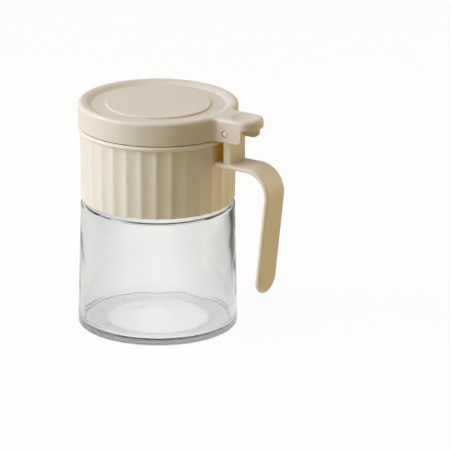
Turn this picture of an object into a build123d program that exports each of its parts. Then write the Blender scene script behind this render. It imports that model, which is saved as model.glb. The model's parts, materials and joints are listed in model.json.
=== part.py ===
from build123d import *
import math
import os

# Condiment jar: a clear glass jar with a screwed-on plastic collar, which carries the handle
# and a hinged lid. Millimetres. The origin is the centre of the jar's underside, +Z is up, and
# the handle and the hinge point along +X.

# Clearances
body_gap = 0.3              # between the closed lid and the bead
slip_gap = 0.1              # between pieces that are pushed together or turn on each other
pin_gap = 0.06              # all round the hinge pin, in the post
cheek_gap = 0.15            # between the post and each cheek
knuckle_gap = 0.4           # between the knuckle and the thumb tab's underside
open_gap = 0.75             # between the open lid's thumb tab and the handle
skirt_swing_gap = 2.8       # between the mouth and the lid's skirt, which swings past it

# Glass jar
jar_shoulder_height = 71.0
jar_neck_radius = 36.2
jar_neck_height = 20.5
jar_neck_wall = 2.6
jar_wall = 2.8
jar_flare = 1.6             # how much wider the foot is than the shoulder, in radius
jar_floor = 3.0
jar_floor_rise = 0.8        # the floor is thicker in the middle
jar_ring_width = 7.0        # the flat ring that the jar stands on
jar_punt_depth = 1.2
jar_heel_round = 1.6
jar_inner_heel_round = 3.0
jar_shoulder_round = 3.0
jar_shoulder_drop = 1.9     # from the shoulder's height down to where the wall ends
jar_shoulder_slope = 29.0   # degrees, from the wall up to the neck
jar_shoulder_extra = 0.5    # how much thicker the glass is in the slope than in the wall
jar_inner_shoulder_round = 0.6
jar_inner_neck_round = 2.0
jar_lip_round = 1.0

# Screw thread between the jar's neck and the screw ring
thread_pitch = 4.0
thread_height = 1.5         # how far a rib stands out of its wall
thread_root_width = 1.9
thread_crest_width = 1.0
thread_sink = 0.3           # how deep a rib's foot is sunk in its wall
thread_root_gap = 0.4       # from a rib's crest to the other piece's wall
thread_below_lip = 3.0
jar_thread_turns = 1.25
ring_thread_turns = 1.0

# Gasket between the jar's lip and the screw ring's ledge
gasket_thickness = 1.3

# Screw ring, the inner piece of the collar: thread, ledge, well, bead and mouth
ring_wall = 1.45
ring_above_shoulder = 3.0
ring_edge_round = 0.3
ledge_thickness = 2.0
ledge_round = 1.0
well_taper_height = 5.0
well_round = 3.0
mouth_wall = 1.5
mouth_rise = 4.0            # the mouth's rim above the bead
mouth_round = 0.6
bead_stand_out = 1.2        # beyond the top of the collar
bead_height = 2.6
bead_round = 1.2
snap_rib_height = 0.4
snap_rib_width = 1.4
snap_rib_round = 0.2
snap_rib_from_end = 2.2
key_count = 4
key_first_angle = 45.0
key_width = 4.0
key_depth = 0.8
key_from_end = 6.0
key_below_bead = 3.0

# Handle collar: fluted sleeve, handle and hinge post in one moulding
collar_above_shoulder = 0.1
collar_height = 38.1
collar_wall = 2.15          # at the ridges, at the bottom
collar_flare = 0.7          # how much wider the top is than the bottom, in radius
flute_count = 32
flute_depth = 0.55
handle_width = 17.4
handle_thickness = 2.6
handle_beyond_pin = 12.3    # where the bend starts
handle_bend_radius = 13.2
handle_lean = 6.1           # degrees, of the straight run, towards the jar
handle_tip_height = 29.3
handle_edge_round = 0.9
post_stand_off = 4.5        # between the collar and the post
post_width = 14.8
post_thickness = 4.4
post_root_round = 0.8
knuckle_bulge = 0.8         # how much the knuckle is rounder than the post is thick

# Hinge pin
pin_radius = 1.55
pin_recess = 0.15
pin_chamfer = 0.25
pin_ring_radius = 2.0       # the narrow recess round each pin end
pin_ring_depth = 0.9
pin_above_lid_edge = 4.8

# Lid
lid_height = 13.0
lid_inset = 0.4             # inside the bead
lid_wall = 2.0
lid_top_round = 2.0
lid_inner_round = 1.0
rim_crest_inset = 2.5
rim_slope_width = 5.0
rim_depth = 2.0
annulus_width = 7.4
disc_rise = 1.1
disc_round = 0.6

# Hinge head: the two cheeks and the thumb tab that grow out of the lid
cheek_thickness = 2.15
cheek_beyond_pin = 10.4
cheek_corner_round = 3.8
head_blend_round = 4.5
head_corner_round = 5.5
tab_bow = 6.0               # how far the tab's front bows out beyond the cheeks
scoop_radius = 6.6
scoop_depth = 0.9
scoop_margin = 1.7

# Seal under the lid, between two ribs
seal_overhang = 0.6         # beyond the mouth's rim, on each side
seal_stand_out = 1.4        # below its ribs
seal_rib_wall = 1.0

# Heights worked out from the sizes above
jar_wall_height = jar_shoulder_height - jar_shoulder_drop
jar_lip_height = jar_shoulder_height + jar_neck_height
ledge_height = jar_lip_height + gasket_thickness + 2 * slip_gap
well_bottom = ledge_height + ledge_thickness
collar_bottom = jar_shoulder_height + collar_above_shoulder
collar_top = collar_bottom + collar_height
ring_bottom = jar_shoulder_height + ring_above_shoulder
bead_bottom = collar_top + slip_gap
bead_top = bead_bottom + bead_height
mouth_height = bead_top + mouth_rise
lid_bottom = bead_top + body_gap
lid_top = lid_bottom + lid_height
rim_foot_height = lid_top - rim_depth
disc_top = rim_foot_height + disc_rise
lid_underside = rim_foot_height - lid_wall
seal_bottom = mouth_height + slip_gap
hinge_height = lid_bottom + pin_above_lid_edge
knuckle_radius = post_thickness / 2 + knuckle_bulge
tab_underside = hinge_height + knuckle_radius + knuckle_gap
plate_top = hinge_height - cheek_beyond_pin - tab_bow - open_gap
plate_height = plate_top - handle_thickness / 2

# Radii worked out from the sizes above
jar_neck_bore = jar_neck_radius - jar_neck_wall
ring_bore = jar_neck_radius + thread_height + thread_root_gap
ring_outer = ring_bore + ring_wall
collar_bore = ring_outer + slip_gap
collar_bottom_radius = collar_bore + collar_wall
collar_top_radius = collar_bottom_radius + collar_flare
jar_shoulder_radius = collar_bottom_radius
jar_foot_radius = jar_shoulder_radius + jar_flare
bead_radius = collar_top_radius + bead_stand_out
lid_radius = bead_radius - lid_inset
lid_bore = lid_radius - lid_wall
mouth_outer = lid_bore - skirt_swing_gap
well_radius = mouth_outer - mouth_wall
rim_crest_radius = lid_radius - rim_crest_inset
rim_foot_radius = rim_crest_radius - rim_slope_width
disc_radius = rim_foot_radius - annulus_width
seal_inner_radius = well_radius - seal_overhang
seal_outer_radius = mouth_outer + seal_overhang

# Reaches along +X, worked out from the sizes above
hinge_reach = collar_top_radius + post_stand_off + post_thickness / 2
head_front = hinge_reach + cheek_beyond_pin
tab_reach = head_front + tab_bow
scoop_centre = tab_reach - scoop_margin - scoop_radius
handle_bend_start = hinge_reach + handle_beyond_pin

# Widths along Y, worked out from the sizes above
head_gap = post_width + 2 * cheek_gap
head_width = head_gap + 2 * cheek_thickness

# Where the helical ribs start
jar_thread_start = jar_lip_height - thread_below_lip - thread_pitch * jar_thread_turns
ring_thread_start = jar_thread_start - thread_pitch / 2

tiny = 0.01                 # for picking edges by their place


def fitted(rounding, wall):
    """Rounding that two edges of one wall can both take."""
    return min(rounding, 0.47 * wall)


def turned(*corners):
    """Solid turned about the vertical axis from (radius, height, rounding) corners."""
    outline = FilletPolyline(
        *[(radius, height) for radius, height, _ in corners],
        radius=[rounding for _, _, rounding in corners],
        close=True,
    )
    return revolve(Plane.XZ * make_face(outline), Axis.Z)


def drum(radius, bottom, top):
    """Upright cylinder between two heights."""
    return extrude(Pos(0, 0, bottom) * Circle(radius), top - bottom)


def tube(inner, outer, bottom, top):
    """Plain ring between two radii and two heights."""
    return drum(outer, bottom, top) - drum(inner, bottom, top)


def slab(x_range, y_range, z_range):
    """Box between two corners."""
    sides = [high - low for low, high in (x_range, y_range, z_range)]
    middle = [(low + high) / 2 for low, high in (x_range, y_range, z_range)]
    return Pos(*middle) * Box(*sides)


def rod(radius, half_length):
    """Bar along Y, centred on the hinge's axis."""
    return Pos(hinge_reach, 0, hinge_height) * Rot(90, 0, 0) * Cylinder(radius, 2 * half_length)


def thread_rib(wall_radius, outwards, start, turns):
    """Helical rib on a wall, standing outwards (1) or inwards (-1) from it."""
    path = Helix(thread_pitch, thread_pitch * turns, wall_radius, center=(0, 0, start))
    foot = -thread_sink * outwards
    crest = thread_height * outwards
    section = make_face(
        Polyline(
            (foot, -thread_root_width / 2),
            (crest, -thread_crest_width / 2),
            (crest, thread_crest_width / 2),
            (foot, thread_root_width / 2),
            close=True,
        )
    )
    start_plane = Plane(origin=path @ 0, x_dir=(1, 0, 0), z_dir=path % 0)
    return sweep(start_plane * section, path=path, is_frenet=True)


def slope_height(radius):
    """Height of the jar's outer slope, between its wall and its neck, at a radius."""
    rise = math.tan(math.radians(jar_shoulder_slope))
    return jar_wall_height + (jar_shoulder_radius - radius) * rise


def make_glass_jar():
    """Jar with a thick floor, a sloping shoulder and a threaded neck."""
    ring_inner = jar_foot_radius - jar_heel_round - jar_ring_width
    floor_radius = jar_foot_radius - jar_wall
    wall_top_radius = jar_shoulder_radius - jar_wall
    slope_wall = jar_wall + jar_shoulder_extra
    under_slope = slope_wall / math.cos(math.radians(jar_shoulder_slope))
    lip_round = fitted(jar_lip_round, jar_neck_wall)
    glass = turned(
        (0, jar_punt_depth, 0),
        (ring_inner - jar_punt_depth, jar_punt_depth, jar_punt_depth / 2),
        (ring_inner, 0, jar_punt_depth / 2),
        (jar_foot_radius, 0, jar_heel_round),
        (jar_shoulder_radius, jar_wall_height, jar_shoulder_round),
        (jar_neck_radius, slope_height(jar_neck_radius), lip_round),
        (jar_neck_radius, jar_lip_height, lip_round),
        (jar_neck_bore, jar_lip_height, lip_round),
        (jar_neck_bore, slope_height(jar_neck_bore) - under_slope, jar_inner_neck_round),
        (wall_top_radius, slope_height(wall_top_radius) - under_slope, jar_inner_shoulder_round),
        (floor_radius, jar_floor, jar_inner_heel_round),
        (0, jar_floor + jar_floor_rise, 0),
    )
    return glass + thread_rib(jar_neck_radius, 1, jar_thread_start, jar_thread_turns)


def make_neck_gasket():
    """Flat ring between the jar's lip and the ledge of the screw ring."""
    bottom = jar_lip_height + slip_gap
    return tube(jar_neck_bore + slip_gap, ring_bore - slip_gap, bottom, bottom + gasket_thickness)


def key_angles():
    """Places of the keys that lock the screw ring in the collar."""
    return [key_first_angle + 360 / key_count * number for number in range(key_count)]


def make_screw_ring():
    """Inner piece of the collar: thread, ledge, open well, bead and the mouth's rim."""
    ring_round = fitted(ring_edge_round, ring_wall)
    rim_round = fitted(mouth_round, mouth_wall)
    edge_round = fitted(bead_round, bead_height)
    ring = turned(
        (ring_bore, ring_bottom, ring_round),
        (ring_outer, ring_bottom, ring_round),
        (ring_outer, bead_bottom, 0),
        (bead_radius, bead_bottom, edge_round),
        (bead_radius, bead_top, edge_round),
        (mouth_outer, bead_top, ring_edge_round),
        (mouth_outer, mouth_height, rim_round),
        (well_radius, mouth_height, rim_round),
        (well_radius, well_bottom + well_taper_height, well_round),
        (jar_neck_bore, well_bottom, fitted(ledge_round, ledge_thickness)),
        (jar_neck_bore, ledge_height, 0),
        (ring_bore, ledge_height, 0),
    )
    ring += thread_rib(ring_bore, -1, ring_thread_start, ring_thread_turns)
    snap_bottom = ring_bottom + snap_rib_from_end
    ring += turned(
        (ring_outer - snap_rib_height, snap_bottom, 0),
        (ring_outer, snap_bottom, 0),
        (ring_outer + snap_rib_height, snap_bottom + snap_rib_width / 2, snap_rib_round),
        (ring_outer, snap_bottom + snap_rib_width, 0),
        (ring_outer - snap_rib_height, snap_bottom + snap_rib_width, 0),
    )
    for angle in key_angles():
        ring += Rot(0, 0, angle) * slab(
            (ring_bore + slip_gap, ring_outer + key_depth),
            (-key_width / 2, key_width / 2),
            (ring_bottom + key_from_end, bead_bottom - key_below_bead),
        )
    return ring


def fluted_outline(ridge_radius):
    """Ring of concave flutes that meet in sharp ridges, one ridge behind the handle."""
    step = 2 * math.pi / flute_count
    radii = (ridge_radius, ridge_radius - flute_depth, ridge_radius)
    arcs = []
    for number in range(flute_count):
        angles = [(number + part) * step for part in (0, 0.5, 1)]
        points = [(r * math.cos(a), r * math.sin(a)) for r, a in zip(radii, angles)]
        arcs.append(ThreePointArc(*points))
    return make_face(arcs)


def make_handle():
    """Flat strip: out of the collar, round the bend and down to a rounded tip."""
    half = handle_thickness / 2
    lean = math.radians(handle_lean)
    centre = (handle_bend_start, plate_height - handle_bend_radius)
    outer = CenterArc(centre, handle_bend_radius + half, -handle_lean, 90 + handle_lean)
    inner = CenterArc(centre, handle_bend_radius - half, -handle_lean, 90 + handle_lean)
    root_top = (collar_bore, plate_height + half)
    root_bottom = (collar_bore, plate_height - half)
    side = make_face(
        [
            outer,
            Line(outer @ 1, root_top),
            Line(root_top, root_bottom),
            Line(root_bottom, inner @ 1),
            inner,
            Line(inner @ 0, outer @ 0),
        ]
    )
    strip = extrude(Plane.XZ * side, handle_width / 2, both=True)
    run_start = Vector(
        centre[0] + handle_bend_radius * math.cos(lean),
        0,
        centre[1] - handle_bend_radius * math.sin(lean),
    )
    run_length = (run_start.Z - handle_tip_height) / math.cos(lean) - handle_width / 2
    run_plane = Plane(run_start, x_dir=(0, 1, 0), z_dir=(math.cos(lean), 0, -math.sin(lean)))
    run = Pos(0, -run_length / 2) * Rectangle(handle_width, run_length)
    run += Pos(0, -run_length) * Circle(handle_width / 2)
    strip += extrude(run_plane * run, half, both=True)
    outline = [
        edge
        for edge in strip.edges()
        if edge.length > 1.2 * handle_thickness and abs((edge % 0.5).Y) < 1 - tiny
    ]
    tip = [
        edge
        for edge in strip.edges().filter_by(GeomType.CIRCLE)
        if edge.center().Z < run_start.Z - run_length * math.cos(lean)
    ]
    return fillet(list(set(outline + tip)), fitted(handle_edge_round, handle_thickness))


def make_post():
    """Upright that stands on the handle's plate and ends in the hinge knuckle."""
    half = post_thickness / 2
    post = slab(
        (hinge_reach - half, hinge_reach + half),
        (-post_width / 2, post_width / 2),
        (plate_height, hinge_height),
    )
    return post + rod(knuckle_radius, post_width / 2)


def post_root_edges(collar):
    """The two edges across the strip where the post stands on the plate."""
    return [
        edge
        for edge in collar.edges().filter_by(GeomType.LINE).filter_by(Axis.Y)
        if abs(edge.center().Z - plate_top) < tiny
        and abs(abs(edge.center().X - hinge_reach) - post_thickness / 2) < tiny
    ]


def make_handle_collar():
    """Fluted sleeve with the handle and the hinge post grown out of it."""
    bottom = Pos(0, 0, collar_bottom) * fluted_outline(collar_bottom_radius)
    top = Pos(0, 0, collar_top) * fluted_outline(collar_top_radius)
    collar = loft([bottom, top], ruled=True)
    collar += make_handle()
    collar += make_post()
    collar = fillet(post_root_edges(collar), post_root_round)
    collar -= drum(collar_bore, collar_bottom, collar_top)
    groove_bottom = ring_bottom + snap_rib_from_end - slip_gap
    groove_top = groove_bottom + snap_rib_width + 2 * slip_gap
    collar -= drum(collar_bore + snap_rib_height, groove_bottom, groove_top)
    for angle in key_angles():
        collar -= Rot(0, 0, angle) * slab(
            (0, ring_outer + key_depth + slip_gap),
            (-key_width / 2 - slip_gap, key_width / 2 + slip_gap),
            (ring_bottom + key_from_end - slip_gap, collar_top),
        )
    return collar - rod(pin_radius + pin_gap, post_width)


def lid_plan():
    """Lid seen from above: the round lid with the hinge head and the bowed thumb tab."""
    half = head_width / 2
    head = make_face(
        [
            Polyline((head_front, -half), (0, -half), (0, half), (head_front, half)),
            ThreePointArc((head_front, half), (tab_reach, 0), (head_front, -half)),
        ]
    )
    plan = Circle(lid_radius) + head
    front = [v for v in plan.vertices() if abs(v.X - head_front) < tiny]
    plan = fillet(front, head_corner_round)
    meeting = math.sqrt(lid_radius**2 - half**2)
    back = [v for v in plan.vertices() if abs(v.X - meeting) < tiny]
    return fillet(back, head_blend_round)


def lid_recess():
    """What is missing inside the lid's rim: an S-shaped slope, a flat annulus and a low disc."""
    crest = (rim_crest_radius, lid_top)
    foot = (rim_foot_radius, rim_foot_height)
    half_way = ((crest[0] + foot[0]) / 2, (crest[1] + foot[1]) / 2)
    section = make_face(
        [
            TangentArc(crest, half_way, tangent=(-1, 0)),
            TangentArc(foot, half_way, tangent=(1, 0)),
            Polyline(
                foot,
                (disc_radius, rim_foot_height),
                (disc_radius, disc_top),
                (0, disc_top),
                (0, lid_top + lid_wall),
                (rim_crest_radius, lid_top + lid_wall),
                crest,
            ),
        ]
    )
    return revolve(Plane.XZ * section, Axis.Z)


def disc_edge(lid):
    """Upper edge of the raised disc."""
    return [
        edge
        for edge in lid.edges().filter_by(GeomType.CIRCLE)
        if abs(edge.center().Z - disc_top) < tiny and abs(edge.radius - disc_radius) < tiny
    ]


def cheek_corners(lid):
    """Lower front edges of the two cheeks."""
    return [
        edge
        for edge in lid.edges().filter_by(GeomType.LINE).filter_by(Axis.Y)
        if abs(edge.center().X - head_front) < tiny and abs(edge.center().Z - lid_bottom) < tiny
    ]


def make_lid():
    """Round lid with a raised rim and disc, and with the hinge cheeks and thumb tab."""
    below = lid_bottom - lid_wall
    lid = extrude(Pos(0, 0, lid_bottom) * lid_plan(), lid_height)
    lid = fillet(lid.faces().sort_by(Axis.Z)[-1].edges(), lid_top_round)
    lid -= lid_recess()
    lid = fillet(disc_edge(lid), disc_round)
    lid -= turned(
        (0, below, 0),
        (lid_bore, below, 0),
        (lid_bore, lid_underside, lid_inner_round),
        (0, lid_underside, 0),
    )
    channel = slab((0, tab_reach), (-head_gap / 2, head_gap / 2), (below, tab_underside))
    lid -= channel - drum(lid_radius, below, tab_underside)
    lid -= slab((head_front, tab_reach), (-head_width, head_width), (below, tab_underside))
    lid = fillet(cheek_corners(lid), cheek_corner_round)
    scoop_ball = (scoop_radius**2 + scoop_depth**2) / (2 * scoop_depth)
    lid -= Pos(scoop_centre, 0, lid_top + scoop_ball - scoop_depth) * Sphere(scoop_ball)
    rib_bottom = seal_bottom + seal_stand_out
    rib_inner = seal_inner_radius - slip_gap
    rib_outer = seal_outer_radius + slip_gap
    lid += tube(rib_inner - seal_rib_wall, rib_inner, rib_bottom, lid_underside)
    lid += tube(rib_outer, rib_outer + seal_rib_wall, rib_bottom, lid_underside)
    lid -= rod(pin_radius, head_width)
    pin_ring = rod(pin_ring_radius, head_width)
    pin_ring -= rod(pin_ring_radius, head_width / 2 - pin_ring_depth)
    return lid - pin_ring


def make_lid_seal():
    """Soft ring held between the lid's two ribs, down to the mouth's rim."""
    return tube(seal_inner_radius, seal_outer_radius, seal_bottom, lid_underside)


def make_hinge_pin():
    """Pin pressed into both cheeks, on which the post turns freely."""
    pin = rod(pin_radius, head_width / 2 - pin_recess)
    return chamfer(pin.edges().filter_by(GeomType.CIRCLE), pin_chamfer)


os.makedirs("parts", exist_ok=True)
pieces = {
    "glass_jar": make_glass_jar(),
    "neck_gasket": make_neck_gasket(),
    "screw_ring": make_screw_ring(),
    "handle_collar": make_handle_collar(),
    "lid": make_lid(),
    "lid_seal": make_lid_seal(),
    "hinge_pin": make_hinge_pin(),
}
for name, piece in pieces.items():
    export_step(piece, f"parts/{name}.step")
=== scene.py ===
# %% [markdown]
# # A condiment jar with a hinged lid
#
# This notebook dresses a finished CAD model: a clear glass jar, a cream plastic collar that
# carries the handle, and a lid on a hinge. The model says where every piece is and how large.
# Here each piece gets its finished surface: soft edges, real glass and moulded plastic. Sizes
# are in millimetres, as such a jar is drawn, and one factor turns them into Blender's metres.

import json
import math
from contextlib import contextmanager

import bmesh
import bpy
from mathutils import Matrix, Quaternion, Vector


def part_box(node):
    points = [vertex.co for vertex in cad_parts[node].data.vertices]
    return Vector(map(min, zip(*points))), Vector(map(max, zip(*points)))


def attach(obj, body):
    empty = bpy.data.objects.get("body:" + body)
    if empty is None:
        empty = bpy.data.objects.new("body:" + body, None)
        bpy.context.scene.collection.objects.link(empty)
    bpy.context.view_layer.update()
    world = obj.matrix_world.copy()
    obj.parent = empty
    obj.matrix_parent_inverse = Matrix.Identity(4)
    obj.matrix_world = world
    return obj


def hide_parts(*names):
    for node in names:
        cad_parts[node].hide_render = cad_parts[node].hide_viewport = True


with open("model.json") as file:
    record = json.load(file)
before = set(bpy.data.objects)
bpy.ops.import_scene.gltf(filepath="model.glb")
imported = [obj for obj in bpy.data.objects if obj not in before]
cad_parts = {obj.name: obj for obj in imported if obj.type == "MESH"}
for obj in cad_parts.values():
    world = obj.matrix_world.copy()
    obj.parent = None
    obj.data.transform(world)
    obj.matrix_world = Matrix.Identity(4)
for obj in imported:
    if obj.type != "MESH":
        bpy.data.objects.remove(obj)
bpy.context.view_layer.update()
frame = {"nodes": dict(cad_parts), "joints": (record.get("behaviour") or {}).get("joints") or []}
nodes = frame["nodes"]
joints = {joint["name"]: joint for joint in frame["joints"]}
MM = 0.001
X_AXIS, Y_AXIS, Z_AXIS = (1, 0, 0), (0, 1, 0), (0, 0, 1)


def node_box(name):
    """Lowest and highest corner of a CAD node, in millimetres."""
    return [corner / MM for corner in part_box(name)]


def rounded(values, digits=1):
    """These values with few decimals, for printing."""
    return [round(value, digits) for value in values]


for name in sorted(nodes):
    print(name, *(rounded(corner) for corner in node_box(name)))

# %% [markdown]
# ## The camera
#
# A product photographer stands well back with a long lens, so that the jar's sides stay almost
# parallel. The camera circles the jar by an azimuth and an elevation, and aims a little to its
# right, which leaves the jar left of the middle. A track quaternion turns the camera, which
# looks down its own -Z axis, and a last small roll levels it.

# %% Camera
VIEW_AZIMUTH = math.radians(34.13)
VIEW_ELEVATION = math.radians(18.138)
VIEW_DISTANCE = 2.4168
VIEW_HEIGHT = 0.063
AIM_RIGHT = 0.03638
AIM_UP = -0.00805
CAMERA_ROLL = math.radians(0.37)
LENS_MM = 356.1
SENSOR_MM = 36.0


def away(azimuth, elevation):
    """Direction from the jar towards a camera or a lamp."""
    flat = math.cos(elevation)
    return Vector(
        (math.sin(azimuth) * flat, -math.cos(azimuth) * flat, math.sin(elevation))
    )


back = away(VIEW_AZIMUTH, VIEW_ELEVATION)
right = Vector((math.cos(VIEW_AZIMUTH), math.sin(VIEW_AZIMUTH), 0))
up = back.cross(right)
middle = Vector((0, 0, VIEW_HEIGHT))
aim = middle + right * AIM_RIGHT + up * AIM_UP

camera_data = bpy.data.cameras.new("camera")
camera_data.lens = LENS_MM
camera_data.sensor_width = SENSOR_MM
camera_data.clip_end = 20
camera = bpy.data.objects.new("camera", camera_data)
bpy.context.scene.collection.objects.link(camera)
camera.location = middle + back * VIEW_DISTANCE
camera.rotation_mode = "QUATERNION"
to_aim = (aim - camera.location).to_track_quat("-Z", "Y")
camera.rotation_quaternion = to_aim @ Quaternion(Z_AXIS, CAMERA_ROLL)
bpy.context.scene.camera = camera
print("camera at", rounded(camera.location, 3))

# %% [markdown]
# ## Modelling tools
#
# Everything is modelled in edit mode, the way it is done by hand: start from a primitive,
# select points, edges or faces, and extrude, spin, bevel or slice them. An operator acts on
# all that is selected, so every step first selects exactly what it needs, by its place.

# %% Selecting and editing
TINY = 0.004  # millimetres, for finding points by their place


def mm(*values):
    """Millimetres to metres."""
    return tuple(value * MM for value in values)


def pick(*pieces):
    """Select these objects alone, with the last one active."""
    bpy.ops.object.select_all(action="DESELECT")
    for piece in pieces:
        piece.select_set(True)
    bpy.context.view_layer.objects.active = pieces[-1]


def start_from(primitive, name, **settings):
    """A new piece from a primitive, with its place and turn kept in its mesh."""
    bpy.ops.object.select_all(action="DESELECT")
    primitive(**settings)
    piece = bpy.context.object
    piece.name = name
    bpy.ops.object.transform_apply()
    return piece


@contextmanager
def editing(piece):
    """Edit mode on one piece, and back to object mode afterwards."""
    pick(piece)
    bpy.ops.object.mode_set(mode="EDIT")
    yield
    bpy.ops.object.mode_set(mode="OBJECT")


def choose(kind, test):
    """In edit mode, select each VERT, EDGE or FACE whose points, in mm, all pass a test."""
    bpy.ops.mesh.select_mode(type=kind)
    bpy.ops.mesh.select_all(action="DESELECT")
    mesh = bmesh.from_edit_mesh(bpy.context.edit_object.data)
    elements = {"VERT": mesh.verts, "EDGE": mesh.edges, "FACE": mesh.faces}[kind]
    found = 0
    for element in elements:
        points = [element] if kind == "VERT" else element.verts
        if all(test(point.co / MM) for point in points):
            element.select_set(True)
            found += 1
    mesh.select_flush_mode()
    bmesh.update_edit_mesh(bpy.context.edit_object.data)
    return found


def choose_all():
    """In edit mode, select everything."""
    bpy.ops.mesh.select_all(action="SELECT")


def at_height(height):
    """Test for points at one height."""
    return lambda p: abs(p.z - height) < TINY


def merge_doubles(distance=TINY):
    """In edit mode, merge all points that lie closer than this, in millimetres."""
    choose_all()
    bpy.ops.mesh.remove_doubles(threshold=distance * MM)


def bevel(width, steps, **settings):
    """In edit mode, bevel what is selected. The width is in millimetres."""
    bpy.ops.mesh.bevel(offset=width * MM, segments=steps, **settings)


def tidy_mesh():
    """In edit mode, merge double points and turn every face outwards."""
    merge_doubles(TINY / 2)
    bpy.ops.mesh.normals_make_consistent(inside=False)


def report(piece):
    """Print a piece's triangles, open edges and size."""
    mesh = bmesh.new()
    mesh.from_mesh(piece.data)
    open_edges = sum(len(edge.link_faces) != 2 for edge in mesh.edges)
    triangles = sum(len(face.verts) - 2 for face in mesh.faces)
    corners = [[pick_end(v.co[axis] / MM for v in mesh.verts) for axis in range(3)]
               for pick_end in (min, max)]
    print(f"{piece.name}: {triangles} triangles, {open_edges} open edges,",
          f"{mesh.calc_volume() / MM**3:.0f} mm3,",
          [rounded(corner, 2) for corner in corners])
    mesh.free()


# %% [markdown]
# ## Two ways to make a shape
#
# A round piece is made like pottery: a circle is extruded ring by ring, each ring is resized to
# its radius, and the rings that are corners get a bevel. Any other piece is drawn like a pen
# line: one point is pushed along straight runs and swung round arcs, the outline is filled, and
# the face is pushed out to a solid. Spin turns the other way than a right-handed turn does, so
# swing gives it the opposite angle.

# %% Round pieces
AROUND = 256  # faces round a turned piece


def on_ring(radius, height):
    """Test for the points of one ring of a turned piece."""
    return lambda p: abs(math.hypot(p.x, p.y) - radius) < TINY and abs(p.z - height) < TINY


def turned(name, corners, steps=5, around=AROUND):
    """Solid of revolution from (radius, height, rounding) corners. The last may be on the axis."""
    radius, height, _ = corners[0]
    on_axis = corners[-1][0] == 0
    place = mm(0, 0, height)
    circle = bpy.ops.mesh.primitive_circle_add
    piece = start_from(circle, name, vertices=around, radius=radius * MM, location=place)
    loop = corners if on_axis else [*corners, corners[0]]
    with editing(piece):
        bpy.ops.mesh.select_mode(type="EDGE")
        choose_all()
        for (r0, z0, _), (r1, z1, _) in zip(loop, loop[1:]):
            bpy.ops.mesh.extrude_edges_move(TRANSFORM_OT_translate={"value": mm(0, 0, z1 - z0)})
            if r1 > 0:
                grow = r1 / r0
                bpy.ops.transform.resize(value=(grow, grow, 1), center_override=mm(0, 0, z1))
            else:
                bpy.ops.mesh.merge(type="CENTER")
        if on_axis:
            choose("EDGE", on_ring(radius, height))
            bpy.ops.mesh.edge_face_add()
        tidy_mesh()
        for index, (radius, height, rounding) in enumerate(corners):
            if rounding == 0:
                continue
            before = (0, height) if on_axis and index == 0 else corners[index - 1]
            after = corners[(index + 1) % len(corners)]
            come = Vector((radius - before[0], height - before[1]))
            leave = Vector((after[0] - radius, after[1] - height))
            choose("EDGE", on_ring(radius, height))
            bevel(rounding * math.tan(come.angle(leave) / 2), steps, clamp_overlap=False)
        tidy_mesh()
    return piece


# %% Drawn pieces
def start_outline(name, x, y, z):
    """A new piece that is one point, in edit mode and ready for push and swing."""
    piece = start_from(bpy.ops.mesh.primitive_plane_add, name, size=MM, location=mm(x, y, z))
    bpy.ops.object.mode_set(mode="EDIT")
    bpy.ops.mesh.select_mode(type="VERT")
    choose_all()
    bpy.ops.mesh.merge(type="CENTER")
    return piece


def push(x=0, y=0, z=0):
    """In edit mode, extrude the selection by a distance."""
    bpy.ops.mesh.extrude_region_move(TRANSFORM_OT_translate={"value": mm(x, y, z)})


def swing(centre, axis, degrees, steps):
    """In edit mode, sweep the selection right-handed round an axis through a place."""
    bpy.ops.mesh.spin(steps=steps, angle=-math.radians(degrees), center=mm(*centre), axis=axis)


def fill_outline(x=0, y=0, z=0):
    """In edit mode, close the outline with a face, push it to a solid and leave edit mode."""
    merge_doubles()
    bpy.ops.mesh.edge_face_add()
    push(x, y, z)
    tidy_mesh()
    bpy.ops.object.mode_set(mode="OBJECT")


def slab(x_range, y_range, z_range, angle=0):
    """Box between these limits, turned about the jar's axis by an angle in degrees."""
    low, high = zip(x_range, y_range, z_range)
    block = start_from(bpy.ops.mesh.primitive_cube_add, "slab", size=1)
    block.scale = mm(*(b - a for a, b in zip(low, high)))
    block.location = mm(*((a + b) / 2 for a, b in zip(low, high)))
    bpy.ops.object.transform_apply()
    block.rotation_euler.z = math.radians(angle)
    bpy.ops.object.transform_apply()
    return block


def modify(piece, kind, **settings):
    """Give the active piece a modifier with these settings, and apply it."""
    modifier = piece.modifiers.new(kind.lower(), kind)
    for name, value in settings.items():
        setattr(modifier, name, value)
    bpy.ops.object.modifier_apply(modifier=modifier.name)


def combine(piece, other, operation):
    """Add (UNION) or cut away (DIFFERENCE) another piece, which is used up."""
    pick(piece)
    modify(piece, "BOOLEAN", operation=operation, solver="EXACT", object=other)
    bpy.data.objects.remove(other)


def finish_surface(piece, body, sharp_angle=35):
    """Smooth shading, normals that follow the large faces, and the piece's place in the model."""
    pick(piece)
    bpy.ops.object.shade_smooth_by_angle(angle=math.radians(sharp_angle))
    modify(piece, "WEIGHTED_NORMAL", keep_sharp=True)
    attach(piece, body)
    report(piece)


# %% [markdown]
# ## The screw thread
#
# The jar's neck and the ring inside the collar carry a coarse right-handed thread. Its rib has
# a trapezoid section. The Screw modifier turns that section round the axis while it climbs, and
# the two open ends are filled. A Boolean then makes it one with its wall.

# %% Thread
THREAD_PITCH = 4.0
THREAD_HEIGHT = 1.5
THREAD_ROOT_WIDTH = 1.9
THREAD_CREST_WIDTH = 1.0
THREAD_SINK = 0.3  # how deep the rib's foot is sunk in its wall
THREAD_GAP = 0.4  # from a rib's crest to the other piece's wall
THREAD_BELOW_LIP = 3.0
THREAD_STEPS = 128  # for each turn
JAR_THREAD_TURNS = 1.25
RING_THREAD_TURNS = 1.0


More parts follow.
